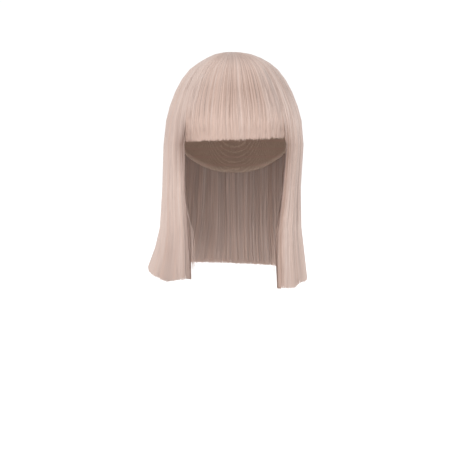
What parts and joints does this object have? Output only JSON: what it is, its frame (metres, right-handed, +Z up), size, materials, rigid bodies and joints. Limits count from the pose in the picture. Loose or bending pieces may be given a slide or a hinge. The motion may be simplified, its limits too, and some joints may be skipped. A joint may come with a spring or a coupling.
{
  "type": "wig",
  "caption": "Straight shoulder-length wig with a full blunt fringe: panels of combed hair over a thin stretch cap, worn on the head with a costume.",
  "frame": {"origin": "the seat inside the cap's crown, where the top of the wearer's head meets it", "axes": "+Z up; the wearer faces -Y; +X is to the right of someone who looks at the wearer's face, and left and right in the names are that person's"},
  "size_m": [0.2061, 0.2146, 0.3002],
  "materials": {
    "hair_fibre": "satin",
    "cap_net": "matte"
  },
  "bodies": {
    "root": {"wig_cap": "cap_net", "crown_whorl": "hair_fibre", "fringe": "hair_fibre", "side_hair_left": "hair_fibre", "side_hair_right": "hair_fibre", "back_hair": "hair_fibre"}
  },
  "joints": []
}
